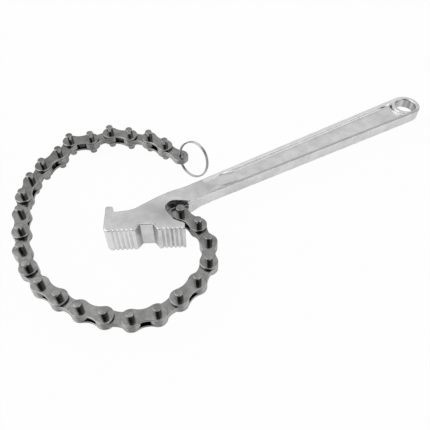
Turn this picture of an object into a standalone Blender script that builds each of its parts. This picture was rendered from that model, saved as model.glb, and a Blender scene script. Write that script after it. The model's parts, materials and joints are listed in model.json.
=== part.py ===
"""Chain pipe wrench, lying on its side.

One forging carries the toothed jaw, two hook ears and an I-beam handle. A chain of riveted plates
starts at an anchor pin in the head, runs in an open loop and ends in a split ring.

Units are metres and +Z is up, along the chain pins. The origin is the centre of the head's
underside, and +X points along the handle to the hang hole.
"""
import math

import bmesh
import bpy
from mathutils import Matrix, Vector

# Head of the forging: u runs along the toothed face, v away from it, from the head's centre
HEAD_THICKNESS = 0.024
HEAD_ANGLE = math.radians(-26.4)
HEAD_LEFT = -0.0305
HEAD_RIGHT = 0.0301
TOOTH_FACE = -0.0118
HEAD_CORNER_RADIUS = 0.004
HEAD_EDGE_BEVEL = 0.0010

# Teeth and the groove between their two rows
TOOTH_PITCH = 0.0034
TOOTH_DEPTH = 0.0016
TOOTH_TIP_WIDTH = 0.0011
GROOVE_CENTRE = 0.0014
GROOVE_FLOOR_WIDTH = 0.0094
GROOVE_DEPTH = 0.0054
GROOVE_MOUTH_WIDTH = 0.0172

# Hook ears, which catch the long ends of a chain pin
HOOK_TIP = 0.0129
HOOK_WIDTH = 0.0058
HOOK_TIP_RADIUS = 0.0016
NOTCH_DEPTH = 0.0060
NOTCH_RADIUS = 0.0022
REAR_NOTCH_END = -0.0130
REAR_SLOPE_FOOT = -0.0078
REAR_FOOT_LIFT = 0.0014
SLOT_SIDE_CLEARANCE = 0.0010
SLOT_WALL = 0.0044
SLOT_END = -0.0115
SLOT_END_CORNER = (0.0030, 0.0033)
SLOT_END_DEPTH = 0.0085
SLOT_LEFT_LIP = 0.0014

# Handle: its centre line lies to one side of the head's centre
HANDLE_AXIS_Y = 0.0114
HANDLE_THICKNESS = 0.0100
HANDLE_NECK_X = 0.0600
HANDLE_NECK_HALF_WIDTH = 0.0089
HANDLE_END_HALF_WIDTH = 0.0131
TAPER_START_X = 0.0220
TAPER_END_X = 0.0520
TAPER_STATIONS = 8

# Neck: (share of the way from the anchor pin to the neck, half width added or half width's share)
LOWER_NECK = [(0.32, 0.0004), (0.68, 0.0002)]
UPPER_NECK = [(0.65, 0.97), (0.28, 0.69), (-0.07, 0.46), (-0.42, 0.37)]

# Hang hole
HANG_HOLE_X = 0.2748
HANG_HOLE_RADIUS = 0.0092
HANG_HOLE_CHAMFER = 0.0007

# Recessed panels of the I-beam, one on each face of the handle
RIM_WIDTH = 0.0034
PANEL_WEB = 0.0044
PANEL_WALL_RUN = 0.0010
PANEL_START_X = 0.0660
PANEL_RAMP = 0.0200
PANEL_END_WALL = 0.0052
PANEL_NOSE_SHARE = 0.6
PANEL_CORNER_SHARE = 0.92
CUT_OVERSHOOT = 2.0

# Chain: plates on round pins, stacked outer, inner, inner, inner, outer
PITCH = 0.0180
PLATE_END_RADIUS = 0.0068
PLATE_WAIST_HALF_WIDTH = 0.0047
PLATE_END_SWEEP = 112
OUTER_PLATE_THICKNESS = 0.0018
INNER_PLATE_THICKNESS = 0.0016
INNER_PLATES_PER_LINK = 3
PLATE_SEAM = 0.0003
PLATE_GAP = 0.0003
PIN_RADIUS = 0.0030
PIN_LENGTH = 0.0214
PIN_CHAMFER = 0.0004
PIN_FIT = 0.0003

# Anchor pin, and the pocket round it on each side of the forging's middle tongue
ANCHOR_U = 0.0266
ANCHOR_V = 0.0100
ANCHOR_PIN_RADIUS = 0.0038
ANCHOR_FIT = 0.0003
TONGUE_RADIUS = 0.0070
TONGUE_ARC = (-140, -40)
POCKET_CLEARANCE = 0.0006
POCKET_RELIEF = 0.0039
POCKET_ARC = (95, 215)
POCKET_FRONT = [(-0.0051, -0.0118), (-0.0016, -0.0137)]
POCKET_REAR = [(0.0139, 0.0018), (0.0117, 0.0050)]
POCKET_OPENING = 0.0200
POCKET_OPENING_DROP = 0.0060

# Course of the chain: heading of the first link in the model's frame, then the bend at each pin
FIRST_HEADING = -69
CHAIN_BENDS = [
    -24, -25, -27, -17, -8, -26, -20, -10, -12, -6, -15, -12, -12,
    -3, -6, -14, -12, -18, 15, -59, 17, -36, -1, -25, -2,
]

# Split ring through the end link's eye, hanging at a lean just above the floor
RING_RADIUS = 0.0152
RING_WIRE_RADIUS = 0.00065
RING_TURNS = 2
RING_COIL_PITCH = 0.00140
RING_TURN_FROM_LINK = 3
RING_RISE = 20
RING_LEAN = 19
RING_WIRE_END = 62

# Facets
PIN_SIDES = 10
PLATE_END_POINTS = 8
HOLE_SIDES = 24
HANDLE_END_POINTS = 14
RING_STEPS_PER_TURN = 26
RING_WIRE_SIDES = 6
CUT_MARGIN = 0.004
FACE_TOLERANCE = 0.0005
SHARP_ANGLE = 35

MID_Z = HEAD_THICKNESS / 2
INNER_STACK = INNER_PLATES_PER_LINK * INNER_PLATE_THICKNESS
CHAIN_STACK = INNER_STACK + 2 * (PLATE_GAP + OUTER_PLATE_THICKNESS)
LINK_COUNT = len(CHAIN_BENDS) + 1


def clear_scene():
    for existing in list(bpy.data.objects):
        bpy.data.objects.remove(existing, do_unlink=True)


def steel(name, colour, roughness):
    """A metal finish."""
    material = bpy.data.materials.new(name)
    material.use_nodes = True
    shader = material.node_tree.nodes["Principled BSDF"]
    shader.inputs["Base Color"].default_value = (*colour, 1.0)
    shader.inputs["Roughness"].default_value = roughness
    shader.inputs["Metallic"].default_value = 1.0
    material.diffuse_color = (*colour, 1.0)
    return material


def finished_mesh(name, shape, material):
    """Turn a bmesh into a smooth-shaded mesh with one material."""
    bmesh.ops.recalc_face_normals(shape, faces=shape.faces)
    mesh = bpy.data.meshes.new(name)
    shape.to_mesh(mesh)
    shape.free()
    mesh.materials.append(material)
    mesh.shade_smooth()
    mesh.set_sharp_from_angle(angle=math.radians(SHARP_ANGLE))
    return mesh


def add_object(name, mesh, parent=None):
    piece = bpy.data.objects.new(name, mesh)
    bpy.context.scene.collection.objects.link(piece)
    piece.parent = parent
    return piece


def add_axis(name, parent, location, turn_deg):
    """An empty on a joint's axis, which the pieces that turn about it are parented to."""
    axis = add_object(name, None, parent)
    axis.empty_display_size = PITCH / 2
    axis.location = location
    axis.rotation_euler = (0, 0, math.radians(turn_deg))
    return axis


def add_cutter(name, shape, target):
    """A hidden cutting body, taken away from the target by a Boolean."""
    bmesh.ops.recalc_face_normals(shape, faces=shape.faces)
    mesh = bpy.data.meshes.new(name)
    shape.to_mesh(mesh)
    shape.free()
    cutter = add_object(name, mesh)
    cutter.hide_render = True
    cutter.display_type = 'WIRE'
    cut = target.modifiers.new(name, 'BOOLEAN')
    cut.operation = 'DIFFERENCE'
    cut.solver = 'EXACT'
    cut.object = cutter


# Plan points

def head_point(u, v):
    """A point of the head, given along and away from the toothed face."""
    return Vector((u, v)) @ Matrix.Rotation(-HEAD_ANGLE, 2)


def handle_point(x, side):
    """A point at a distance to one side of the handle's centre line."""
    return Vector((x, HANDLE_AXIS_Y + side))


def arc(centre, radius, start_deg, end_deg, count):
    """Points on an arc, both ends included."""
    points = []
    for step in range(count):
        angle = math.radians(start_deg + (end_deg - start_deg) * step / (count - 1))
        points.append(Vector(centre) + radius * Vector((math.cos(angle), math.sin(angle))))
    return points


def handle_half_width(x):
    """The handle widens evenly from its neck to the hang hole."""
    along = (x - HANDLE_NECK_X) / (HANG_HOLE_X - HANDLE_NECK_X)
    return HANDLE_NECK_HALF_WIDTH + along * (HANDLE_END_HALF_WIDTH - HANDLE_NECK_HALF_WIDTH)


def half_thickness(x):
    """The forging thins smoothly from the head to the handle."""
    along = min(max((x - TAPER_START_X) / (TAPER_END_X - TAPER_START_X), 0.0), 1.0)
    smooth = along * along * (3 - 2 * along)
    return HEAD_THICKNESS / 2 + smooth * (HANDLE_THICKNESS - HEAD_THICKNESS) / 2


# Solids

def prism(shape, outline, low, high):
    """An upright prism on a counterclockwise plan outline."""
    floor = [shape.verts.new((point[0], point[1], low)) for point in outline]
    roof = [shape.verts.new((point[0], point[1], high)) for point in outline]
    join_rings(shape, [floor, roof])


def join_rings(shape, rings):
    """Skin a row of vertex rings and cap both ends."""
    for lower, upper in zip(rings, rings[1:]):
        skin(shape, lower, upper)
    shape.faces.new(list(reversed(rings[0])))
    shape.faces.new(rings[-1])


def turned(shape, centre, profile, sides):
    """A round body about an upright axis, from (radius, height) pairs listed upwards."""
    rings = []
    for radius, height in profile:
        ring = []
        for step in range(sides):
            angle = 2 * math.pi * step / sides
            ring.append(shape.verts.new((
                centre[0] + radius * math.cos(angle),
                centre[1] + radius * math.sin(angle),
                height,
            )))
        rings.append(ring)
    join_rings(shape, rings)


def ring_of(shape, outline, z):
    return [shape.verts.new((point[0], point[1], z)) for point in outline]


def skin(shape, lower, upper):
    """Faces between two rings of vertices."""
    for here in range(len(lower)):
        after = (here + 1) % len(lower)
        shape.faces.new((lower[here], lower[after], upper[after], upper[here]))


def fill_between(shape, rings):
    """One flat face inside the first ring and round the others."""
    edges = []
    for ring in rings:
        for here, vert in enumerate(ring):
            pair = (vert, ring[(here + 1) % len(ring)])
            edges.append(shape.edges.get(pair) or shape.edges.new(pair))
    bmesh.ops.triangle_fill(shape, edges=edges, use_beauty=True, use_dissolve=False)


def plate(shape, levels, holes=(), pins=()):
    """A plate whose edge follows (outline, height) levels, with holes through it or pins fixed in it.

    A hole is one outline. A pin is a list of (outline, height) levels below the plate and one above it.
    """
    edge = [ring_of(shape, outline, z) for outline, z in levels]
    for lower, upper in zip(edge, edge[1:]):
        skin(shape, lower, upper)
    low, high = levels[0][1], levels[-1][1]
    floor_rings = [edge[0]]
    roof_rings = [edge[-1]]
    for outline in holes:
        floor_rings.append(ring_of(shape, outline, low))
        roof_rings.append(ring_of(shape, outline, high))
        skin(shape, floor_rings[-1], roof_rings[-1])
    for below, above in pins:
        lower_part = [ring_of(shape, outline, z) for outline, z in below]
        upper_part = [ring_of(shape, outline, z) for outline, z in above]
        for part in (lower_part, upper_part):
            for lower, upper in zip(part, part[1:]):
                skin(shape, lower, upper)
        shape.faces.new(lower_part[0])
        shape.faces.new(upper_part[-1])
        floor_rings.append(lower_part[-1])
        roof_rings.append(upper_part[0])
    fill_between(shape, floor_rings)
    fill_between(shape, roof_rings)


# Forging

def valleys_in(room):
    """How many tooth valleys a flat of this length has room for."""
    return int((room - TOOTH_TIP_WIDTH) / TOOTH_PITCH)


def tooth_row(first_u, valleys):
    """Tooth tips and valleys from one side of the face to the other."""
    points = []
    for tooth in range(valleys + 1):
        start = first_u + tooth * TOOTH_PITCH
        points.append(head_point(start, TOOTH_FACE))
        points.append(head_point(start + TOOTH_TIP_WIDTH, TOOTH_FACE))
        if tooth < valleys:
            valley = start + (TOOTH_PITCH + TOOTH_TIP_WIDTH) / 2
            points.append(head_point(valley, TOOTH_FACE + TOOTH_DEPTH))
    return points


def toothed_face():
    """The jaw's working face from the rounded left corner to the right end."""
    corner = (HEAD_LEFT + HEAD_CORNER_RADIUS, TOOTH_FACE + HEAD_CORNER_RADIUS)
    groove_left = GROOVE_CENTRE - GROOVE_MOUTH_WIDTH / 2
    groove_right = GROOVE_CENTRE + GROOVE_MOUTH_WIDTH / 2
    floor_v = TOOTH_FACE + GROOVE_DEPTH
    points = [head_point(*point) for point in arc(corner, HEAD_CORNER_RADIUS, 180, 270, 5)]
    left_end = groove_left - TOOTH_TIP_WIDTH
    left_valleys = valleys_in(left_end - corner[0])
    points += tooth_row(left_end - TOOTH_TIP_WIDTH - left_valleys * TOOTH_PITCH, left_valleys)
    points.append(head_point(groove_left, TOOTH_FACE))
    points.append(head_point(GROOVE_CENTRE - GROOVE_FLOOR_WIDTH / 2, floor_v))
    points.append(head_point(GROOVE_CENTRE + GROOVE_FLOOR_WIDTH / 2, floor_v))
    points.append(head_point(groove_right, TOOTH_FACE))
    right_start = groove_right + TOOTH_TIP_WIDTH
    points += tooth_row(right_start, valleys_in(HEAD_RIGHT - right_start))
    points.append(head_point(HEAD_RIGHT, TOOTH_FACE))
    return points


def hook_and_rear():
    """From the neck back along the rear slope, round the notch and over the hook's tip."""
    notch_v = HOOK_TIP - NOTCH_DEPTH
    hook_right = HEAD_LEFT + HOOK_WIDTH
    notch_centre = (hook_right + NOTCH_RADIUS, notch_v + NOTCH_RADIUS)
    tip_left = (HEAD_LEFT + HOOK_TIP_RADIUS, HOOK_TIP - HOOK_TIP_RADIUS)
    tip_right = (hook_right - HOOK_TIP_RADIUS, HOOK_TIP - HOOK_TIP_RADIUS)
    points = [
        (REAR_SLOPE_FOOT, notch_v + 2 * REAR_FOOT_LIFT),
        (REAR_NOTCH_END, notch_v + REAR_FOOT_LIFT),
    ]
    points += arc(notch_centre, NOTCH_RADIUS, -90, -180, 5)
    points += arc(tip_right, HOOK_TIP_RADIUS, 0, 90, 4)
    points += arc(tip_left, HOOK_TIP_RADIUS, 90, 180, 4)
    return [head_point(*point) for point in points]


def forging_outline():
    """The plan outline of the whole forging, counterclockwise."""
    anchor = head_point(ANCHOR_U, ANCHOR_V)
    neck_run = HANDLE_NECK_X - anchor.x
    flare = math.degrees(math.atan2(
        HANDLE_END_HALF_WIDTH - HANDLE_NECK_HALF_WIDTH, HANG_HOLE_X - HANDLE_NECK_X))
    points = toothed_face()
    points.append(head_point(HEAD_RIGHT, TOOTH_FACE + GROOVE_DEPTH))
    points += arc(anchor, TONGUE_RADIUS, *TONGUE_ARC, 6)
    for share, bulge in LOWER_NECK:
        points.append(handle_point(anchor.x + share * neck_run, -HANDLE_NECK_HALF_WIDTH - bulge))
    points.append(handle_point(HANDLE_NECK_X, -HANDLE_NECK_HALF_WIDTH))
    points += arc(handle_point(HANG_HOLE_X, 0), HANDLE_END_HALF_WIDTH,
                  -90 - flare, 90 + flare, HANDLE_END_POINTS)
    points.append(handle_point(HANDLE_NECK_X, HANDLE_NECK_HALF_WIDTH))
    for share, height in UPPER_NECK:
        points.append(handle_point(anchor.x + share * neck_run, height * HANDLE_NECK_HALF_WIDTH))
    points += hook_and_rear()
    return points


def on_toothed_face(vert):
    """True for the points of the teeth and of the groove between them."""
    place = Vector(vert.co.xy) @ Matrix.Rotation(HEAD_ANGLE, 2)
    floor = TOOTH_FACE + GROOVE_DEPTH
    across = TOOTH_FACE - FACE_TOLERANCE < place.y < floor + FACE_TOLERANCE
    along = HEAD_LEFT + HEAD_CORNER_RADIUS < place.x < HEAD_RIGHT + FACE_TOLERANCE
    return across and along


def forging_shape():
    """Extrude the plan outline, round its long edges and thin the handle."""
    shape = bmesh.new()
    prism(shape, forging_outline(), 0, HEAD_THICKNESS)
    rims = [
        edge for edge in shape.edges
        if abs(edge.verts[0].co.z - edge.verts[1].co.z) < 1e-6
        and not (on_toothed_face(edge.verts[0]) or on_toothed_face(edge.verts[1]))
    ]
    bmesh.ops.bevel(shape, geom=rims, offset=HEAD_EDGE_BEVEL, offset_type='OFFSET', segments=2,
                    profile=0.5, affect='EDGES', clamp_overlap=True)
    for station in range(TAPER_STATIONS + 1):
        x = TAPER_START_X + (TAPER_END_X - TAPER_START_X) * station / TAPER_STATIONS
        bmesh.ops.bisect_plane(shape, geom=shape.verts[:] + shape.edges[:] + shape.faces[:],
                               dist=1e-7, plane_co=(x, 0, 0), plane_no=(1, 0, 0))
    for vert in shape.verts:
        thinning = half_thickness(vert.co.x) / MID_Z
        vert.co.z = MID_Z + (vert.co.z - MID_Z) * thinning
    bmesh.ops.triangulate(shape, faces=shape.faces)
    return shape


def pocket_outline():
    """The clear space round the anchor pin, open towards the first links."""
    anchor = head_point(ANCHOR_U, ANCHOR_V)
    reach = PLATE_END_RADIUS + POCKET_CLEARANCE
    step = TOOTH_FACE + GROOVE_DEPTH
    points = [head_point(*point)
              for point in arc((ANCHOR_U - POCKET_RELIEF, ANCHOR_V), reach, *POCKET_ARC, 8)]
    points += [head_point(ANCHOR_U + u, ANCHOR_V + v) for u, v in POCKET_FRONT]
    points.append(head_point(HEAD_RIGHT, step))
    points.append(head_point(HEAD_RIGHT + POCKET_OPENING, step - POCKET_OPENING_DROP))
    rear = [anchor + Vector(offset) for offset in POCKET_REAR]
    points.append(rear[0] + Vector((POCKET_OPENING, -POCKET_CLEARANCE)))
    return points + rear


def slot_outline():
    """The chain's way between the two ears: open at the rear and at the left end."""
    rear = HOOK_TIP + CUT_MARGIN
    left = HEAD_LEFT - CUT_MARGIN
    front = TOOTH_FACE + SLOT_WALL
    corner_run, corner_rise = SLOT_END_CORNER
    return [
        head_point(left, front),
        head_point(HEAD_LEFT + SLOT_LEFT_LIP, front),
        head_point(SLOT_END - corner_run, SLOT_END_DEPTH - corner_rise),
        head_point(SLOT_END, SLOT_END_DEPTH),
        head_point(SLOT_END, rear),
        head_point(left, rear),
    ]


def panel_outline(widening, start_x):
    """A recessed panel: a round nose at the neck and a hollow end round the hang hole."""
    centre = handle_point(HANG_HOLE_X, 0)
    end_radius = HANG_HOLE_RADIUS + PANEL_END_WALL - widening
    half_at_end = handle_half_width(HANG_HOLE_X - end_radius) - RIM_WIDTH + widening
    sweep = math.degrees(math.asin(half_at_end / end_radius)) * PANEL_CORNER_SHARE
    half_at_start = handle_half_width(start_x) - RIM_WIDTH + widening
    points = [
        handle_point(start_x, -PANEL_NOSE_SHARE * half_at_start),
        handle_point(start_x + half_at_start, -half_at_start),
    ]
    points += arc(centre, end_radius, 180 + sweep, 180 - sweep, 7)
    points.append(handle_point(start_x + half_at_start, half_at_start))
    points.append(handle_point(start_x, PANEL_NOSE_SHARE * half_at_start))
    return points


def tapered_cutter(shape, small, large, small_z, large_z):
    """A cutter whose walls slope between a small outline and a large one."""
    rings = []
    for outline, z in ((small, small_z), (large, large_z)):
        rings.append([shape.verts.new((point.x, point.y, z)) for point in outline])
    join_rings(shape, rings)


def cut_forging(forging):
    """Pockets, slot, panels and holes."""
    pockets = bmesh.new()
    tongue_half = INNER_STACK / 2
    top = HEAD_THICKNESS + CUT_MARGIN
    slot_half = CHAIN_STACK / 2 + SLOT_SIDE_CLEARANCE
    prism(pockets, pocket_outline(), MID_Z + tongue_half, top)
    prism(pockets, pocket_outline(), -CUT_MARGIN, MID_Z - tongue_half)
    prism(pockets, slot_outline(), MID_Z - slot_half, MID_Z + slot_half)
    add_cutter("pocket_and_slot_cutter", pockets, forging)

    panels = bmesh.new()
    rise = HANDLE_THICKNESS / 2 - PANEL_WEB / 2
    floor = panel_outline(0, PANEL_START_X + PANEL_RAMP)
    mouth = panel_outline(PANEL_WALL_RUN * CUT_OVERSHOOT, PANEL_START_X - PANEL_RAMP * (CUT_OVERSHOOT - 1))
    for side in (1, -1):
        floor_z = MID_Z + side * PANEL_WEB / 2
        tapered_cutter(panels, floor, mouth, floor_z, floor_z + side * rise * CUT_OVERSHOOT)
    add_cutter("panel_cutter", panels, forging)

    bores = bmesh.new()
    half = HANDLE_THICKNESS / 2
    flare = HANG_HOLE_RADIUS + HANG_HOLE_CHAMFER + CUT_MARGIN
    turned(bores, handle_point(HANG_HOLE_X, 0), [
        (flare, MID_Z - half - CUT_MARGIN),
        (HANG_HOLE_RADIUS, MID_Z - half + HANG_HOLE_CHAMFER),
        (HANG_HOLE_RADIUS, MID_Z + half - HANG_HOLE_CHAMFER),
        (flare, MID_Z + half + CUT_MARGIN),
    ], HOLE_SIDES)
    reach = HEAD_THICKNESS
    turned(bores, head_point(ANCHOR_U, ANCHOR_V), [
        (ANCHOR_PIN_RADIUS + ANCHOR_FIT, MID_Z - reach),
        (ANCHOR_PIN_RADIUS + ANCHOR_FIT, MID_Z + reach),
    ], PIN_SIDES)
    add_cutter("bore_cutter", bores, forging)


# Chain

def circle(centre, radius, sides):
    return arc(centre, radius, 0, 360 - 360 / sides, sides)


def plate_outline(inset=0.0):
    """A waisted plate: two round ends joined by slightly hollow flanks."""
    sweep = PLATE_END_SWEEP
    end_radius = PLATE_END_RADIUS - inset
    waist = PLATE_WAIST_HALF_WIDTH - inset
    points = arc((PITCH, 0), end_radius, -sweep, sweep, PLATE_END_POINTS)
    points.append(Vector((PITCH / 2, waist)))
    points += arc((0, 0), end_radius, 180 - sweep, 180 + sweep, PLATE_END_POINTS)
    points.append(Vector((PITCH / 2, -waist)))
    return points


def pin_hole(x, pin_radius, fit):
    return circle((x, 0), pin_radius + fit, PIN_SIDES)


def pin_levels(x, low, high):
    """The two ends of a chain pin that stand out of a plate between two heights."""
    tip = circle((x, 0), PIN_RADIUS - PIN_CHAMFER, PIN_SIDES)
    side = circle((x, 0), PIN_RADIUS, PIN_SIDES)
    half = PIN_LENGTH / 2
    below = [(tip, -half), (side, PIN_CHAMFER - half), (side, low)]
    above = [(side, high), (side, half - PIN_CHAMFER), (tip, half)]
    return below, above


def upper_plate_mesh(name, first_hole, material):
    """The loose-fitting plate, pressed over the pins of an outer link."""
    shape = bmesh.new()
    low = INNER_STACK / 2 + PLATE_GAP
    levels = [(plate_outline(), low), (plate_outline(), low + OUTER_PLATE_THICKNESS)]
    plate(shape, levels, holes=[first_hole, pin_hole(PITCH, PIN_RADIUS, PIN_FIT)])
    return finished_mesh(name, shape, material)


def lower_plate_mesh(name, pin_places, holes, material):
    """The plate that carries an outer link's pins."""
    shape = bmesh.new()
    high = -INNER_STACK / 2 - PLATE_GAP
    low = high - OUTER_PLATE_THICKNESS
    levels = [(plate_outline(), low), (plate_outline(), high)]
    plate(shape, levels, holes=holes, pins=[pin_levels(x, low, high) for x in pin_places])
    return finished_mesh(name, shape, material)


def inner_plates_mesh(name, material):
    """A pack of like plates, face to face, with a fine seam at each joint."""
    shape = bmesh.new()
    levels = [(plate_outline(), -INNER_STACK / 2)]
    for layer in range(1, INNER_PLATES_PER_LINK):
        joint = layer * INNER_PLATE_THICKNESS - INNER_STACK / 2
        levels.append((plate_outline(), joint - PLATE_SEAM / 2))
        levels.append((plate_outline(PLATE_SEAM), joint))
        levels.append((plate_outline(), joint + PLATE_SEAM / 2))
    levels.append((plate_outline(), INNER_STACK / 2))
    plate(shape, levels, holes=[pin_hole(x, PIN_RADIUS, PIN_FIT) for x in (0, PITCH)])
    return finished_mesh(name, shape, material)


def anchor_pin_mesh(name, material):
    shape = bmesh.new()
    half = PIN_LENGTH / 2
    turned(shape, (0, 0), [
        (ANCHOR_PIN_RADIUS - PIN_CHAMFER, -half),
        (ANCHOR_PIN_RADIUS, PIN_CHAMFER - half),
        (ANCHOR_PIN_RADIUS, half - PIN_CHAMFER),
        (ANCHOR_PIN_RADIUS - PIN_CHAMFER, half),
    ], PIN_SIDES)
    return finished_mesh(name, shape, material)


def add_outer_link(number, axis, meshes):
    """Two plates, the lower one with the pins that are riveted through both."""
    kind = "anchor" if number == 1 else "common"
    add_object(f"outer_plate_{number:02d}", meshes[f"{kind}_upper_plate"], axis)
    add_object(f"pinned_plate_{number:02d}", meshes[f"{kind}_lower_plate"], axis)


def add_inner_link(number, axis, meshes, last):
    name = "end_link_plates" if last else f"inner_plates_{number:02d}"
    add_object(name, meshes["inner_plates"], axis)


def split_ring_shape():
    """Two close coils of round wire. The ring's centre lies one radius out from the eye."""
    shape = bmesh.new()
    rise = math.radians(RING_RISE)
    lean = math.radians(RING_LEAN)
    outward = Vector((math.cos(rise), 0, math.sin(rise)))
    upright = Vector((-math.sin(rise), 0, math.cos(rise)))
    sideways = Vector((0, 1, 0))
    along_wire = math.cos(lean) * upright + math.sin(lean) * sideways
    across = outward.cross(along_wire)
    centre = RING_RADIUS * outward
    steps = RING_TURNS * RING_STEPS_PER_TURN
    rings = []
    for step in range(steps + 1):
        turn = step / RING_STEPS_PER_TURN
        angle = 2 * math.pi * turn + math.radians(RING_WIRE_END)
        radial = -math.cos(angle) * outward + math.sin(angle) * along_wire
        middle = centre + RING_RADIUS * radial + (turn - RING_TURNS / 2) * RING_COIL_PITCH * across
        ring = []
        for side in range(RING_WIRE_SIDES):
            around = 2 * math.pi * side / RING_WIRE_SIDES
            offset = math.cos(around) * radial + math.sin(around) * across
            ring.append(shape.verts.new(middle + RING_WIRE_RADIUS * offset))
        rings.append(ring)
    join_rings(shape, rings)
    return shape


def add_chain(chain_steel, spring_steel):
    """Nest one joint axis in the last, so that each link turns about its own first pin."""
    anchor_hole = pin_hole(0, ANCHOR_PIN_RADIUS, ANCHOR_FIT)
    common_hole = pin_hole(0, PIN_RADIUS, PIN_FIT)
    meshes = {
        "anchor_upper_plate": upper_plate_mesh("anchor_upper_plate", anchor_hole, chain_steel),
        "anchor_lower_plate": lower_plate_mesh("anchor_lower_plate", [PITCH], [anchor_hole], chain_steel),
        "common_upper_plate": upper_plate_mesh("common_upper_plate", common_hole, chain_steel),
        "common_lower_plate": lower_plate_mesh("common_lower_plate", [0, PITCH], [], chain_steel),
        "inner_plates": inner_plates_mesh("inner_plates", chain_steel),
        "anchor_pin": anchor_pin_mesh("anchor_pin", chain_steel),
    }
    anchor = head_point(ANCHOR_U, ANCHOR_V)
    anchor_pin = add_object("anchor_pin", meshes["anchor_pin"])
    anchor_pin.location = (anchor.x, anchor.y, MID_Z)

    axis = add_axis("link_01_axis", None, anchor_pin.location, FIRST_HEADING)
    add_outer_link(1, axis, meshes)
    for place, bend in enumerate(CHAIN_BENDS, start=2):
        axis = add_axis(f"link_{place:02d}_axis", axis, (PITCH, 0, 0), bend)
        if place % 2:
            add_outer_link((place + 1) // 2, axis, meshes)
        else:
            add_inner_link(place // 2, axis, meshes, last=place == LINK_COUNT)

    ring_axis = add_axis("ring_axis", axis, (PITCH, 0, 0), RING_TURN_FROM_LINK)
    ring = finished_mesh("split_ring", split_ring_shape(), spring_steel)
    add_object("split_ring", ring, ring_axis)


def build():
    clear_scene()
    forged_steel = steel("forged_steel", (0.56, 0.56, 0.57), 0.38)
    chain_steel = steel("chain_steel", (0.21, 0.21, 0.21), 0.42)
    spring_steel = steel("spring_steel", (0.50, 0.50, 0.50), 0.30)
    forging = add_object("handle_forging", finished_mesh("handle_forging", forging_shape(), forged_steel))
    cut_forging(forging)
    add_chain(chain_steel, spring_steel)


build()
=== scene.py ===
"""Looks of the chain pipe wrench.

Every rigid part of the CAD model is replaced by a finer piece in the same place: a forging with
rounded edges, stamped chain plates, pins with rounded ends and a split ring of round wire.
Units are metres, in the CAD model's frame. An edge turn is 1 on a sharp convex edge, which is bright with
wear, and -1 in a crease, which is painted dark as shade. The same value also carries painted highlights and
painted shade laid on the forging and between the chain plates.
"""
import json
import math

import bmesh
import bpy
from mathutils import Matrix, Vector


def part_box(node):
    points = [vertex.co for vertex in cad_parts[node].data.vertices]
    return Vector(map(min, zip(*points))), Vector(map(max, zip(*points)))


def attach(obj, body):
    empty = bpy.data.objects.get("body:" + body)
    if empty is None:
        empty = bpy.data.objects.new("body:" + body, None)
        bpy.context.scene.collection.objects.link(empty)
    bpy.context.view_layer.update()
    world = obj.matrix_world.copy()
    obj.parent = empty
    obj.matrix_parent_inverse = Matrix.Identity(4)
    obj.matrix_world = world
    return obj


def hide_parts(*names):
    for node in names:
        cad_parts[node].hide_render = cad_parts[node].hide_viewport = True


# Camera, from the photograph's perspective
CAMERA_PLACE = (-0.0702, -0.2321, 0.3102)
CAMERA_TURN_DEG = (39.9, 0.0, -29.4)
CAMERA_LENS_MM = 41.4
CAMERA_SENSOR_MM = 36.0

# Forging
FORGING_MERGE = 1e-6
FORGING_VOXEL = 0.00035
FORGING_SMOOTH_STEPS = 10
FORGING_SMOOTH_FACTOR = 0.5
FORGING_FULL_TURN = 0.00022
FORGING_KEPT_SHARE = 0.4
HEAD_MIDDLE_Z = 0.012
HEAD_EDGE_FROM_MIDDLE = 0.0106
HANDLE_AXIS_Y = 0.0114
HANDLE_NECK_X = 0.060
HANDLE_NECK_HALF = 0.0089
HANDLE_SPREAD = 0.0196
HANDLE_EDGE_INSET = 0.0006
HANG_HOLE_X = 0.2748
HANG_HOLE_RADIUS = 0.0092

# The teeth and the groove between their two rows, in the head's own directions
HEAD_ANGLE = math.radians(-26.4)
TOOTH_TIPS_V = -0.0098
GROOVE_CENTRE = 0.0014
GROOVE_FLOOR_HALF = 0.0047
GROOVE_MOUTH_HALF = 0.0086
GROOVE_FLOOR_V = -0.0064

# Painted highlights and painted shade on the forging, as edge turns
UPRIGHT_WALL = 0.35
LEVEL_FACE = 0.9
OUTER_EDGE_SHARE = -0.30
FRONT_RIM_WIDTH = 0.0042
FRONT_RIM_SHADE = 0.8
REAR_RIM_WIDTH = 0.0045
REAR_RIM_SHINE = 0.6
RAMP_MIDDLE_X = 0.060
RAMP_REACH = 0.020
RAMP_SHADE = 0.36
# The teeth rows: more contrast, and a painted highlight on the left row
LEFT_TEETH_CONTRAST = 1.4
LEFT_TEETH_SHINE = 0.6
RIGHT_TEETH_CONTRAST = 1.8
RIGHT_TEETH_SHINE = 0.05
GROOVE_WALL_SHADE = 0.85
POCKET_REACH = 0.0165
POCKET_RIGHT_END = 0.0098
POCKET_LIT_HEADING = math.radians(-45)
POCKET_LIT_TURN = 0.75
POCKET_DARK_TURN = -0.95
# A patch of painted shade on the flats beside the pocket
SHADE_PATCH_FROM_ANCHOR = (-0.014, 0.002)
SHADE_PATCH_REACH = 0.020
SHADE_PATCH_DEPTH = 0.56
HANG_HOLE_SHADE = 0.52
HANG_HOLE_STREAKS = (2, 5, 11)
HANG_HOLE_STREAK_DEPTH = 0.3
NO_SHADE = -1.0

# Chain plates
PLATE_END_RADIUS = 0.0068
PLATE_WAIST_HALF_WIDTH = 0.0047
PLATE_EDGE_ROUND = 0.00045
PLATE_END_STEPS = 22
PLATE_FLANK_STEPS = 7
EDGE_ROUND_STEPS = 4
EDGE_FADE = 0.00015
INNER_PLATES_PER_LINK = 3
SEAM = 0.00012
HOLE_CLEARANCE = 0.00005
HOLE_STEPS = 28
# Painted shade between the plates, on the sides that face the inner plates
BETWEEN_PLATES_SHADE_TURN = -1.0

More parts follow.
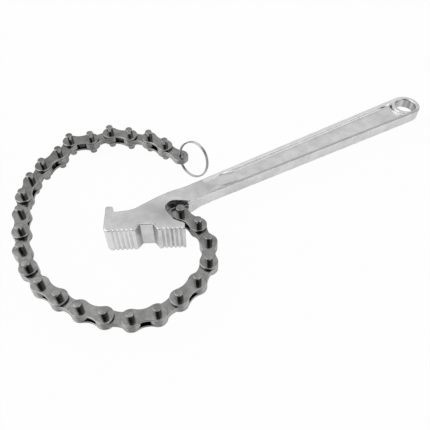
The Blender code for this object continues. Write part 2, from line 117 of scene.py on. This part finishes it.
# Pins
PIN_RADIUS = 0.0030
ANCHOR_PIN_RADIUS = 0.0038
ANCHOR_END_RADIUS = 0.0033
ANCHOR_SHANK_REACH = 0.0045
PIN_EDGE_ROUND = 0.00045
PIN_CROWN = 0.00004
PIN_CROWN_STEPS = (0.25, 0.55)
PIN_STEPS = 28

# Split ring, in the frame of the end link's eye
RING_RADIUS = 0.0151
RING_WIRE_RADIUS = 0.00065
RING_TURNS = 2
RING_COIL_PITCH = 0.0014
RING_TURN_FROM_LINK_DEG = 3
RING_RISE_DEG = 20
RING_LEAN_DEG = 19
RING_WIRE_END_DEG = 62
RING_STEPS_PER_TURN = 96
RING_WIRE_SIDES = 12

LINK_COUNT = 26
# Per-point attribute that carries the edge wear and the painted highlights and painted shade
WEAR_AND_PAINTED_LIGHT = "wear_and_painted_light"
SHARP_ANGLE = math.radians(40)

# Metals: clouded from dark to light, bright with wear on the edges and with painted highlights, painted dark
# as shade in the creases, and finely grained
METALS = {
    "forged_steel": {
        "name": "satin_forging",
        "dark": (0.68, 0.674, 0.676), "light": (0.84, 0.835, 0.836),
        "wear_and_painted_highlight": (0.96, 0.96, 0.96), "crease": (0.30, 0.30, 0.30),
        "roughness": (0.21, 0.26), "cloud_scale": 90.0, "grain_scale": 900.0, "grain_height": 0.000002,
    },
    "chain_steel": {
        "name": "burnished_chain",
        "dark": (0.235, 0.232, 0.23), "light": (0.375, 0.371, 0.368),
        "wear_and_painted_highlight": (0.62, 0.61, 0.60), "crease": (0.08, 0.08, 0.08),
        "roughness": (0.13, 0.18), "cloud_scale": 150.0, "grain_scale": 900.0, "grain_height": 0.000001,
    },
    "spring_steel": {
        "name": "drawn_wire",
        "dark": (0.50, 0.50, 0.50), "light": (0.62, 0.62, 0.61),
        "wear_and_painted_highlight": (0.8, 0.8, 0.8), "crease": (0.3, 0.3, 0.3),
        "roughness": (0.22, 0.34), "cloud_scale": 200.0, "grain_scale": 2500.0, "grain_height": 0.00002,
    },
}
CLOUD_EDGES = (0.35, 0.65)
PATCH_EDGES = (0.3, 0.6)
PATCH_SHARES = (0.6, 1.0)
PATCHES_PER_CLOUD = 6
TURN_EDGES = (0.1, 0.9)
GRAIN_EDGES = (0.3, 0.7)
PIECE_STEP = 10.0

# Floor
FLOOR_HALF = 3.0
FLOOR_DROP = 0.0002
FLOOR_WHITE_SHARE = 0.97
FLOOR_MIRROR_SHARE = 0.57
FLOOR_COLOUR = (0.85, 0.85, 0.85, 1.0)
FLOOR_ROUGHNESS = 0.9
WHITE = (1, 1, 1, 1)

# Light panels in the room: azimuth, elevation and reach in degrees, and strength
ROOM_LIGHT = 0.30
PANELS = {
    "back": (46, 40, 40, 0.45),
    "back left": (140, 50, 40, 1.00),
    "overhead": (30, 80, 28, 0.45),
    "front right, low": (306, 8, 44, 0.95),
    "left": (180, 24, 48, 0.70),
}
PANEL_FULL_SHARE = 0.4
# The dark side of the room, where the photographer stands
HOOD = (237, 45, 40)
HOOD_DEPTH = 0.85
HOOD_FULL_SHARE = 0.5

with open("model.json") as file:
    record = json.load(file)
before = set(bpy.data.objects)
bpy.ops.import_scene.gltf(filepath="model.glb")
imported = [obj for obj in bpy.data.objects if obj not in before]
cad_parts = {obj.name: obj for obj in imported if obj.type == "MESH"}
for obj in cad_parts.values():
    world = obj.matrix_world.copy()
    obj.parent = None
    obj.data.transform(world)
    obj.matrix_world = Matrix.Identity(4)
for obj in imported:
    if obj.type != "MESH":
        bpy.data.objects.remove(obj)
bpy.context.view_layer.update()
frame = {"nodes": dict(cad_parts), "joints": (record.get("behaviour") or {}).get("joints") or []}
joint_places = {joint["name"]: Vector(joint["pos_m"]) for joint in frame["joints"]}


# Materials

class Nodes:
    """A short way to write a material's node tree."""

    def __init__(self, name):
        self.material = bpy.data.materials.new(name)
        self.material.use_nodes = True
        self.tree = self.material.node_tree
        self.shader = self.tree.nodes["Principled BSDF"]

    def add(self, kind, values=None, **settings):
        node = self.tree.nodes.new(kind)
        for key, value in settings.items():
            setattr(node, key, value)
        for key, value in (values or {}).items():
            node.inputs[key].default_value = value
        return node

    def link(self, source, target):
        self.tree.links.new(source, target)

    def object_place(self):
        """The place on the piece, moved by a different step for each piece."""
        place = self.add("ShaderNodeTexCoord")
        which = self.add("ShaderNodeObjectInfo")
        step = self.add("ShaderNodeMath", {1: PIECE_STEP}, operation="MULTIPLY")
        moved = self.add("ShaderNodeVectorMath", operation="ADD")
        self.link(which.outputs["Random"], step.inputs[0])
        self.link(place.outputs["Object"], moved.inputs[0])
        self.link(step.outputs[0], moved.inputs[1])
        return moved.outputs[0]

    def noise(self, place, scale, detail, roughness=0.55):
        node = self.add("ShaderNodeTexNoise", {"Scale": scale, "Detail": detail, "Roughness": roughness})
        self.link(place, node.inputs["Vector"])
        return node.outputs["Fac"]

    def spread(self, source, low_in, high_in, low_out, high_out):
        """Map a range of values onto another, and clip outside it."""
        node = self.add("ShaderNodeMapRange", {1: low_in, 2: high_in, 3: low_out, 4: high_out})
        self.link(source, node.inputs[0])
        return node.outputs[0]

    def mix(self, share, first, second):
        node = self.add("ShaderNodeMix", data_type="RGBA")
        self.link(share, node.inputs[0])
        for socket, value in ((node.inputs[6], first), (node.inputs[7], second)):
            if isinstance(value, tuple):
                socket.default_value = (*value, 1.0)
            else:
                self.link(value, socket)
        return node.outputs[2]

    def multiply(self, first, second):
        node = self.add("ShaderNodeMath", operation="MULTIPLY")
        self.link(first, node.inputs[0])
        self.link(second, node.inputs[1])
        return node.outputs[0]

    def bump(self, height, distance):
        node = self.add("ShaderNodeBump", {"Strength": 1.0, "Distance": distance})
        self.link(height, node.inputs["Height"])
        return node.outputs["Normal"]


def metal(name, dark, light, wear_and_painted_highlight, crease, roughness, cloud_scale, grain_scale, grain_height):
    """Steel with clouded colour, fine grain, bright edges from wear and painted highlights, and painted shade
    in creases.
    """
    nodes = Nodes(name)
    place = nodes.object_place()
    clouds = nodes.noise(place, cloud_scale, 4.0, 0.6)
    colour = nodes.mix(nodes.spread(clouds, *CLOUD_EDGES, 0.0, 1.0), dark, light)
    turn = nodes.add("ShaderNodeAttribute", attribute_name=WEAR_AND_PAINTED_LIGHT).outputs["Fac"]
    patches = nodes.noise(place, cloud_scale * PATCHES_PER_CLOUD, 3.0)
    patches = nodes.spread(patches, *PATCH_EDGES, *PATCH_SHARES)
    low, high = TURN_EDGES
    # The bright colour stands for edge wear and for painted highlights, the crease colour for painted shade
    wear_and_highlight_share = nodes.multiply(nodes.spread(turn, low, high, 0.0, 1.0), patches)
    colour = nodes.mix(wear_and_highlight_share, colour, wear_and_painted_highlight)
    colour = nodes.mix(nodes.spread(turn, -high, -low, 1.0, 0.0), colour, crease)
    nodes.link(colour, nodes.shader.inputs["Base Color"])
    grain = nodes.noise(place, grain_scale, 5.0, 0.7)
    nodes.link(nodes.spread(grain, *GRAIN_EDGES, *roughness), nodes.shader.inputs["Roughness"])
    nodes.link(nodes.bump(grain, grain_height), nodes.shader.inputs["Normal"])
    nodes.shader.inputs["Metallic"].default_value = 1.0
    return nodes.material


# Pieces

def finish_piece(name, shape, body, slot, nodes, materials, place=None):
    """Turn a bmesh into a smooth piece that rides on a body and stands for CAD nodes."""
    bmesh.ops.recalc_face_normals(shape, faces=shape.faces)
    mesh = bpy.data.meshes.new(name)
    shape.to_mesh(mesh)
    shape.free()
    if place:
        mesh.transform(place)
    mesh.materials.append(materials[slot])
    mesh.shade_smooth()
    mesh.set_sharp_from_angle(angle=SHARP_ANGLE)
    piece = bpy.data.objects.new(name, mesh)
    bpy.context.scene.collection.objects.link(piece)
    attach(piece, body)
    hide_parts(*nodes)
    settle_normals(piece)
    return piece


def arc(centre, radius, start_deg, end_deg, steps):
    points = []
    for step in range(steps + 1):
        angle = math.radians(start_deg + (end_deg - start_deg) * step / steps)
        points.append((centre[0] + radius * math.cos(angle), centre[1] + radius * math.sin(angle)))
    return points


def plate_outline(pitch, inset):
    """Two round ends joined by hollow flanks that meet them without a corner."""
    end = PLATE_END_RADIUS
    waist = PLATE_WAIST_HALF_WIDTH
    flank = ((pitch / 2) ** 2 + waist ** 2 - end ** 2) / (2 * (end - waist))
    meeting = math.degrees(math.atan2(waist + flank, pitch / 2))
    far = arc((pitch, 0), end - inset, meeting - 180, 180 - meeting, PLATE_END_STEPS)
    upper = arc((pitch / 2, waist + flank), flank + inset, -meeting, meeting - 180, PLATE_FLANK_STEPS)
    near = arc((0, 0), end - inset, meeting, 360 - meeting, PLATE_END_STEPS)
    lower = arc((pitch / 2, -waist - flank), flank + inset, 180 - meeting, meeting, PLATE_FLANK_STEPS)
    return far[:-1] + upper[:-1] + near[:-1] + lower[:-1]


def skin(shape, rings):
    for lower, upper in zip(rings, rings[1:]):
        for here in range(len(lower)):
            after = (here + 1) % len(lower)
            shape.faces.new((lower[here], lower[after], upper[after], upper[here]))


def ring_at(shape, outline, z, turn=0.0):
    """A ring of points, each marked with how much it is a convex edge."""
    layer = shape.verts.layers.float.get(WEAR_AND_PAINTED_LIGHT) or shape.verts.layers.float.new(WEAR_AND_PAINTED_LIGHT)
    ring = [shape.verts.new((x, y, z)) for x, y in outline]
    for vert in ring:
        vert[layer] = turn
    return ring


def fill_between(shape, rings):
    """One flat face inside the first ring and round the others."""
    edges = []
    for ring in rings:
        for here, vert in enumerate(ring):
            pair = (vert, ring[(here + 1) % len(ring)])
            edges.append(shape.edges.get(pair) or shape.edges.new(pair))
    bmesh.ops.triangle_fill(shape, edges=edges, use_beauty=True, use_dissolve=False)


def rounded_levels(low, high, radius):
    """(inset, height, edge turn) up a side whose two edges are rounded."""
    lower = [(radius + EDGE_FADE, low, 0.0)]
    for step in range(EDGE_ROUND_STEPS + 1):
        angle = math.pi / 2 * step / EDGE_ROUND_STEPS
        turn = math.sin(2 * angle) ** 2
        lower.append((radius * (1 - math.sin(angle)), low + radius * (1 - math.cos(angle)), turn))
    return lower + [(inset, low + high - z, turn) for inset, z, turn in reversed(lower)]


def add_plate(shape, pitch, low, high, hole_radii, shaded_side=None):
    """A stamped plate with rounded edges and a hole in each end; one side may be painted dark, as shade
    between the plates.
    """
    levels = rounded_levels(low, high, PLATE_EDGE_ROUND)
    shaded_level = {"low": 0, "high": len(levels) - 1}.get(shaded_side)
    levels = [(inset, z, BETWEEN_PLATES_SHADE_TURN if here == shaded_level else turn) for here, (inset, z, turn) in enumerate(levels)]
    rings = [ring_at(shape, plate_outline(pitch, inset), z, turn) for inset, z, turn in levels]
    skin(shape, rings)
    floor = [rings[0]]
    roof = [rings[-1]]
    for x, radius in zip((0, pitch), hole_radii):
        hole = arc((x, 0), radius + HOLE_CLEARANCE, 0, 360, HOLE_STEPS)[:-1]
        bore = [ring_at(shape, hole, low, levels[0][2]), ring_at(shape, hole, high, levels[-1][2])]
        skin(shape, bore)
        floor.append(bore[0])
        roof.append(bore[1])
    fill_between(shape, floor)
    fill_between(shape, roof)


def add_pin(shape, x, radius, low, high, shank=None):
    """A pin with rounded ends. A shank is a wider middle: how far it reaches each way, and its radius."""
    edge = PIN_EDGE_ROUND
    end = [(radius * share, PIN_CROWN * share ** 2, 0.0) for share in PIN_CROWN_STEPS]
    for step in range(EDGE_ROUND_STEPS + 1):
        angle = math.pi / 2 * step / EDGE_ROUND_STEPS
        turn = math.sin(2 * angle) ** 2
        end.append((radius - edge + edge * math.sin(angle), PIN_CROWN + edge * (1 - math.cos(angle)), turn))
    profile = [(r, low + z, turn) for r, z, turn in end]
    if shank:
        reach, wide = shank
        profile += [(radius, -reach, 0.0), (wide, -reach, 0.0), (wide, reach, 0.0), (radius, reach, 0.0)]
    profile += [(r, high - z, turn) for r, z, turn in reversed(end)]
    rings = [ring_at(shape, arc((x, 0), r, 0, 360, PIN_STEPS)[:-1], z, turn) for r, z, turn in profile]
    skin(shape, rings)
    for ring, z in ((rings[0], low), (rings[-1], high)):
        tip = shape.verts.new((x, 0, z))
        for here in range(len(ring)):
            shape.faces.new((ring[here], ring[(here + 1) % len(ring)], tip))


def add_forging(materials):
    """The CAD forging with its edges rounded, as a forging comes from the die and the drum."""
    shape = bmesh.new()
    shape.from_mesh(frame["nodes"]["handle_forging"].data)
    bmesh.ops.remove_doubles(shape, verts=shape.verts, dist=FORGING_MERGE)
    piece = finish_piece("forged_body", shape, "wrench", "forged_steel", ["handle_forging"], materials)
    remesh = piece.modifiers.new("even_mesh", "REMESH")
    remesh.mode = "VOXEL"
    remesh.voxel_size = FORGING_VOXEL
    remesh.use_smooth_shade = True
    apply_modifiers(piece)
    sharp = [vert.co.copy() for vert in piece.data.vertices]
    smooth = piece.modifiers.new("round_edges", "SMOOTH")
    smooth.iterations = FORGING_SMOOTH_STEPS
    smooth.factor = FORGING_SMOOTH_FACTOR
    apply_modifiers(piece)
    turns = piece.data.attributes.new(WEAR_AND_PAINTED_LIGHT, "FLOAT", "POINT")
    for vert, before in zip(piece.data.vertices, sharp):
        turn = (before - vert.co).dot(vert.normal) / FORGING_FULL_TURN
        turns.data[vert.index].value = forging_tone(vert.co, vert.normal, turn)
    lighter = piece.modifiers.new("lighter_mesh", "DECIMATE")
    lighter.ratio = FORGING_KEPT_SHARE
    apply_modifiers(piece)
    piece.data.shade_smooth()
    settle_normals(piece)


def forging_tone(point, facing, turn):
    """The edge turn at a point of the forging: its edge wear, with painted highlights and painted shade laid
    over it.
    """
    turn = handle_tone(point, facing, turn)
    along, behind = head_place(point)
    # Painted: faint shade on the outer edges, more contrast on the teeth, and a highlight on the left row
    if on_outer_edge(point):
        turn *= OUTER_EDGE_SHARE
    elif behind < TOOTH_TIPS_V and along < GROOVE_CENTRE:
        turn = turn * LEFT_TEETH_CONTRAST + LEFT_TEETH_SHINE
    elif behind < TOOTH_TIPS_V:
        turn = turn * RIGHT_TEETH_CONTRAST + RIGHT_TEETH_SHINE
    turn = pocket_tone(point, facing, turn)
    return min(turn, -groove_shade(point), -hole_shade(point, facing))


def on_outer_edge(point):
    """Whether a point is by the head's top or bottom edges or the handle's front edge."""
    if abs(point.z - HEAD_MIDDLE_Z) > HEAD_EDGE_FROM_MIDDLE:
        return True
    return point.y < HANDLE_AXIS_Y and edge_distance(point) < HANDLE_EDGE_INSET


def edge_distance(point):
    """How far inside the handle's long outer edge a point is."""
    if point.x < HANDLE_NECK_X:
        return HANDLE_NECK_HALF
    half = HANDLE_NECK_HALF + HANDLE_SPREAD * (point.x - HANDLE_NECK_X)
    return half - abs(point.y - HANDLE_AXIS_Y)


def handle_tone(point, facing, turn):
    """Painted highlight on the handle's rear rim, and bands of painted shade towards its front edge and over
    the neck.
    """
    inward = edge_distance(point)
    level = abs(facing.z) > LEVEL_FACE
    if point.y > HANDLE_AXIS_Y and inward < REAR_RIM_WIDTH:
        return turn * REAR_RIM_SHINE + REAR_RIM_SHINE
    if point.y < HANDLE_AXIS_Y and HANDLE_EDGE_INSET < inward < FRONT_RIM_WIDTH and level:
        return min(turn, -FRONT_RIM_SHADE * (1 - inward / FRONT_RIM_WIDTH))
    from_ramp = abs(point.x - RAMP_MIDDLE_X)
    if from_ramp < RAMP_REACH and level:
        return min(turn, -RAMP_SHADE * (1 - from_ramp / RAMP_REACH))
    return turn


def head_place(point):
    """Where a point is along the jaw and behind its middle line."""
    along = point.x * math.cos(HEAD_ANGLE) + point.y * math.sin(HEAD_ANGLE)
    behind = point.y * math.cos(HEAD_ANGLE) - point.x * math.sin(HEAD_ANGLE)
    return along, behind


def pocket_tone(point, facing, turn):
    """Painted highlight on the pocket's left wall, painted black shade on its far wall, and a soft patch of
    painted shade on the flats beside it.
    """
    anchor = joint_places["pin_01_hinge"]
    east = point.x - anchor.x
    north = point.y - anchor.y
    near = math.hypot(east, north) < POCKET_REACH and east < POCKET_RIGHT_END
    faces_anchor = east * facing.x + north * facing.y < 0
    wall = abs(facing.z) < UPRIGHT_WALL and head_place(point)[1] > TOOTH_TIPS_V
    if near and wall and faces_anchor:
        heading = math.atan2(facing.y, facing.x)
        lit = max(0.0, math.cos(2 * (heading - POCKET_LIT_HEADING)))
        return POCKET_DARK_TURN + (POCKET_LIT_TURN - POCKET_DARK_TURN) * lit
    off = math.hypot(east - SHADE_PATCH_FROM_ANCHOR[0], north - SHADE_PATCH_FROM_ANCHOR[1])
    if off < SHADE_PATCH_REACH and abs(facing.z) > LEVEL_FACE:
        return min(turn, -SHADE_PATCH_DEPTH * (1 - off / SHADE_PATCH_REACH))
    return turn


def hole_shade(point, facing):
    """Painted shade round the wall of the hang hole, broken into streaks."""
    east = point.x - HANG_HOLE_X
    north = point.y - HANDLE_AXIS_Y
    if math.hypot(east, north) > HANG_HOLE_RADIUS + FORGING_VOXEL or abs(facing.z) > UPRIGHT_WALL:
        return NO_SHADE
    around = math.atan2(north, east)
    streak = sum(math.sin(count * around + count) for count in HANG_HOLE_STREAKS)
    return HANG_HOLE_SHADE * (1 + HANG_HOLE_STREAK_DEPTH * streak)


def groove_shade(point):
    """Painted shade on the groove's walls, deepest next to its floor."""
    along, behind = head_place(point)
    aside = abs(along - GROOVE_CENTRE)
    if behind > GROOVE_FLOOR_V + FORGING_VOXEL or not GROOVE_FLOOR_HALF < aside < GROOVE_MOUTH_HALF:
        return NO_SHADE
    return GROOVE_WALL_SHADE * (GROOVE_MOUTH_HALF - aside) / (GROOVE_MOUTH_HALF - GROOVE_FLOOR_HALF)


def settle_normals(piece):
    """Keep the large flats flat, so that only the rounded edges turn the light."""
    even = piece.modifiers.new("flat_faces", "WEIGHTED_NORMAL")
    even.mode = "FACE_AREA"
    even.keep_sharp = True
    apply_modifiers(piece)


def apply_modifiers(piece):
    depsgraph = bpy.context.evaluated_depsgraph_get()
    final = bpy.data.meshes.new_from_object(piece.evaluated_get(depsgraph))
    piece.modifiers.clear()
    piece.data = final


def link_frame(number):
    """Where a link lies: its first pin is the origin, and its length lies along x."""
    here = joint_places[f"pin_{number:02d}_hinge"]
    after = f"pin_{number + 1:02d}_hinge" if number < LINK_COUNT else "ring_hinge"
    along = joint_places[after] - here
    heading = math.atan2(along.y, along.x)
    return Matrix.Translation(here) @ Matrix.Rotation(heading, 4, "Z"), along.length


def heights(node, middle):
    """Lowest and highest point of a CAD node, measured from the chain's middle plane."""
    low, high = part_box(node)
    return low.z - middle, high.z - middle


def add_chain(materials):
    middle = joint_places["pin_01_hinge"].z
    pin_low, pin_high = heights("pinned_plate_02", middle)
    outer_low, outer_high = heights("outer_plate_02", middle)
    stack_low, stack_high = heights("inner_plates_01", middle)
    thickness = (stack_high - stack_low) / INNER_PLATES_PER_LINK
    for number in range(1, LINK_COUNT + 1):
        place, pitch = link_frame(number)
        body = f"link_{number:02d}"
        radii = (ANCHOR_PIN_RADIUS if number == 1 else PIN_RADIUS, PIN_RADIUS)
        if number % 2:
            pair = (number + 1) // 2
            shape = bmesh.new()
            # The outer plates' inner sides get painted shade between the plates
            add_plate(shape, pitch, outer_low, outer_high, radii, "low")
            finish_piece(f"{body}_plate", shape, body, "chain_steel", [f"outer_plate_{pair:02d}"],
                         materials, place)
            shape = bmesh.new()
            add_plate(shape, pitch, -outer_high, -outer_low, radii, "high")
            for x in ((pitch,) if number == 1 else (0, pitch)):
                add_pin(shape, x, PIN_RADIUS, pin_low, pin_high)
            finish_piece(f"{body}_pinned_plate", shape, body, "chain_steel",
                         [f"pinned_plate_{pair:02d}"], materials, place)
        else:
            shape = bmesh.new()
            for layer in range(INNER_PLATES_PER_LINK):
                low = stack_low + layer * thickness
                add_plate(shape, pitch, low + SEAM / 2, low + thickness - SEAM / 2, radii)
            node = "end_link_plates" if number == LINK_COUNT else f"inner_plates_{number // 2:02d}"
            finish_piece(f"{body}_plates", shape, body, "chain_steel", [node], materials, place)
    anchor = Matrix.Translation(joint_places["pin_01_hinge"])
    low, high = heights("anchor_pin", middle)
    shape = bmesh.new()
    add_pin(shape, 0, ANCHOR_END_RADIUS, low, high, (ANCHOR_SHANK_REACH, ANCHOR_PIN_RADIUS))
    finish_piece("head_pin", shape, "wrench", "chain_steel", ["anchor_pin"], materials, anchor)


def add_ring(materials):
    """Two close coils of round wire through the end link's eye."""
    eye, _ = link_frame(LINK_COUNT)
    turn = Matrix.Rotation(math.radians(RING_TURN_FROM_LINK_DEG), 4, "Z")
    place = Matrix.Translation(joint_places["ring_hinge"]) @ eye.to_3x3().to_4x4() @ turn
    rise = math.radians(RING_RISE_DEG)
    lean = math.radians(RING_LEAN_DEG)
    outward = Vector((math.cos(rise), 0, math.sin(rise)))
    upright = Vector((-math.sin(rise), 0, math.cos(rise)))
    along_wire = math.cos(lean) * upright + math.sin(lean) * Vector((0, 1, 0))
    across = outward.cross(along_wire)
    shape = bmesh.new()
    rings = []
    for step in range(RING_TURNS * RING_STEPS_PER_TURN + 1):
        turns = step / RING_STEPS_PER_TURN
        angle = 2 * math.pi * turns + math.radians(RING_WIRE_END_DEG)
        radial = math.sin(angle) * along_wire - math.cos(angle) * outward
        middle = RING_RADIUS * (outward + radial)
        middle += (turns - RING_TURNS / 2) * RING_COIL_PITCH * across
        ring = []
        for side in range(RING_WIRE_SIDES):
            around = 2 * math.pi * side / RING_WIRE_SIDES
            offset = math.cos(around) * radial + math.sin(around) * across
            ring.append(shape.verts.new(middle + RING_WIRE_RADIUS * offset))
        rings.append(ring)
    skin(shape, rings)
    shape.faces.new(rings[0])
    shape.faces.new(rings[-1])
    finish_piece("sprung_ring", shape, "ring", "spring_steel", ["split_ring"], materials, place)


# Studio


def add_camera():
    data = bpy.data.cameras.new("photo_view")
    data.sensor_width = CAMERA_SENSOR_MM
    data.lens = CAMERA_LENS_MM
    camera = bpy.data.objects.new("photo_view", data)
    camera.location = CAMERA_PLACE
    camera.rotation_euler = [math.radians(turn) for turn in CAMERA_TURN_DEG]
    bpy.context.scene.collection.objects.link(camera)
    bpy.context.scene.camera = camera


def white_share(tree):
    """How much of the floor is plain white: nearly all for the camera, less in the metal's reflections."""
    path = tree.nodes.new("ShaderNodeLightPath")
    straight = math_node(tree, "MULTIPLY", path.outputs["Is Camera Ray"], FLOOR_WHITE_SHARE)
    mirrored = math_node(tree, "ADD", path.outputs["Is Glossy Ray"], path.outputs["Is Transmission Ray"])
    mirrored = math_node(tree, "MULTIPLY", mirrored, FLOOR_MIRROR_SHARE)
    return math_node(tree, "ADD", straight, mirrored)


def add_floor():
    shape = bmesh.new()
    corners = [(-1, -1), (1, -1), (1, 1), (-1, 1)]
    shape.faces.new([shape.verts.new((x * FLOOR_HALF, y * FLOOR_HALF, -FLOOR_DROP)) for x, y in corners])
    mesh = bpy.data.meshes.new("floor")
    shape.to_mesh(mesh)
    shape.free()
    floor = bpy.data.objects.new("floor", mesh)
    bpy.context.scene.collection.objects.link(floor)
    nodes = Nodes("pale_floor")
    nodes.shader.inputs["Base Color"].default_value = FLOOR_COLOUR
    nodes.shader.inputs["Roughness"].default_value = FLOOR_ROUGHNESS
    white = nodes.add("ShaderNodeEmission", {"Color": WHITE, "Strength": 1.0})
    mixed = nodes.add("ShaderNodeMixShader")
    nodes.link(white_share(nodes.tree), mixed.inputs[0])
    nodes.link(nodes.shader.outputs[0], mixed.inputs[1])
    nodes.link(white.outputs[0], mixed.inputs[2])
    nodes.link(mixed.outputs[0], nodes.tree.nodes["Material Output"].inputs["Surface"])
    mesh.materials.append(nodes.material)


def near_direction(tree, place, azimuth, elevation, reach, full_share, strength):
    """The strength near a direction, which fades to nothing at the reach."""
    angle = math.radians(azimuth)
    lift = math.radians(elevation)
    middle = Vector((math.cos(lift) * math.cos(angle), math.cos(lift) * math.sin(angle), math.sin(lift)))
    toward = tree.nodes.new("ShaderNodeVectorMath")
    toward.operation = "DOT_PRODUCT"
    toward.inputs[1].default_value = middle
    tree.links.new(place, toward.inputs[0])
    fade = tree.nodes.new("ShaderNodeMapRange")
    fade.interpolation_type = "SMOOTHSTEP"
    edge = math.cos(math.radians(reach))
    full = math.cos(math.radians(reach * full_share))
    for socket, value in zip(fade.inputs[1:5], (edge, full, 0.0, strength)):
        socket.default_value = value
    tree.links.new(toward.outputs["Value"], fade.inputs[0])
    return fade.outputs[0]


def add_world():
    """White behind the object, and soft light panels in a grey room round it."""
    world = bpy.data.worlds.new("studio")
    bpy.context.scene.world = world
    world.use_nodes = True
    tree = world.node_tree
    place = tree.nodes.new("ShaderNodeTexCoord").outputs["Generated"]
    light = ROOM_LIGHT
    for azimuth, elevation, reach, strength in PANELS.values():
        panel = near_direction(tree, place, azimuth, elevation, reach, PANEL_FULL_SHARE, strength)
        light = math_node(tree, "ADD", panel, light)
    hood = near_direction(tree, place, *HOOD, HOOD_FULL_SHARE, HOOD_DEPTH)
    light = math_node(tree, "MULTIPLY", light, math_node(tree, "SUBTRACT", 1.0, hood))
    room = tree.nodes["Background"]
    room.inputs["Color"].default_value = WHITE
    tree.links.new(light, room.inputs["Strength"])
    white = tree.nodes.new("ShaderNodeBackground")
    white.inputs["Color"].default_value = WHITE
    path = tree.nodes.new("ShaderNodeLightPath")
    mixed = tree.nodes.new("ShaderNodeMixShader")
    tree.links.new(path.outputs["Is Camera Ray"], mixed.inputs[0])
    tree.links.new(room.outputs[0], mixed.inputs[1])
    tree.links.new(white.outputs[0], mixed.inputs[2])
    tree.links.new(mixed.outputs[0], tree.nodes["World Output"].inputs["Surface"])


def math_node(tree, operation, first, second):
    node = tree.nodes.new("ShaderNodeMath")
    node.operation = operation
    for socket, value in zip(node.inputs, (first, second)):
        if isinstance(value, bpy.types.NodeSocket):
            tree.links.new(value, socket)
        else:
            socket.default_value = value
    return node.outputs[0]


materials = {slot: metal(**values) for slot, values in METALS.items()}
add_forging(materials)
add_chain(materials)
add_ring(materials)
add_floor()
add_world()
add_camera()
bpy.context.scene.view_settings.view_transform = "Standard"
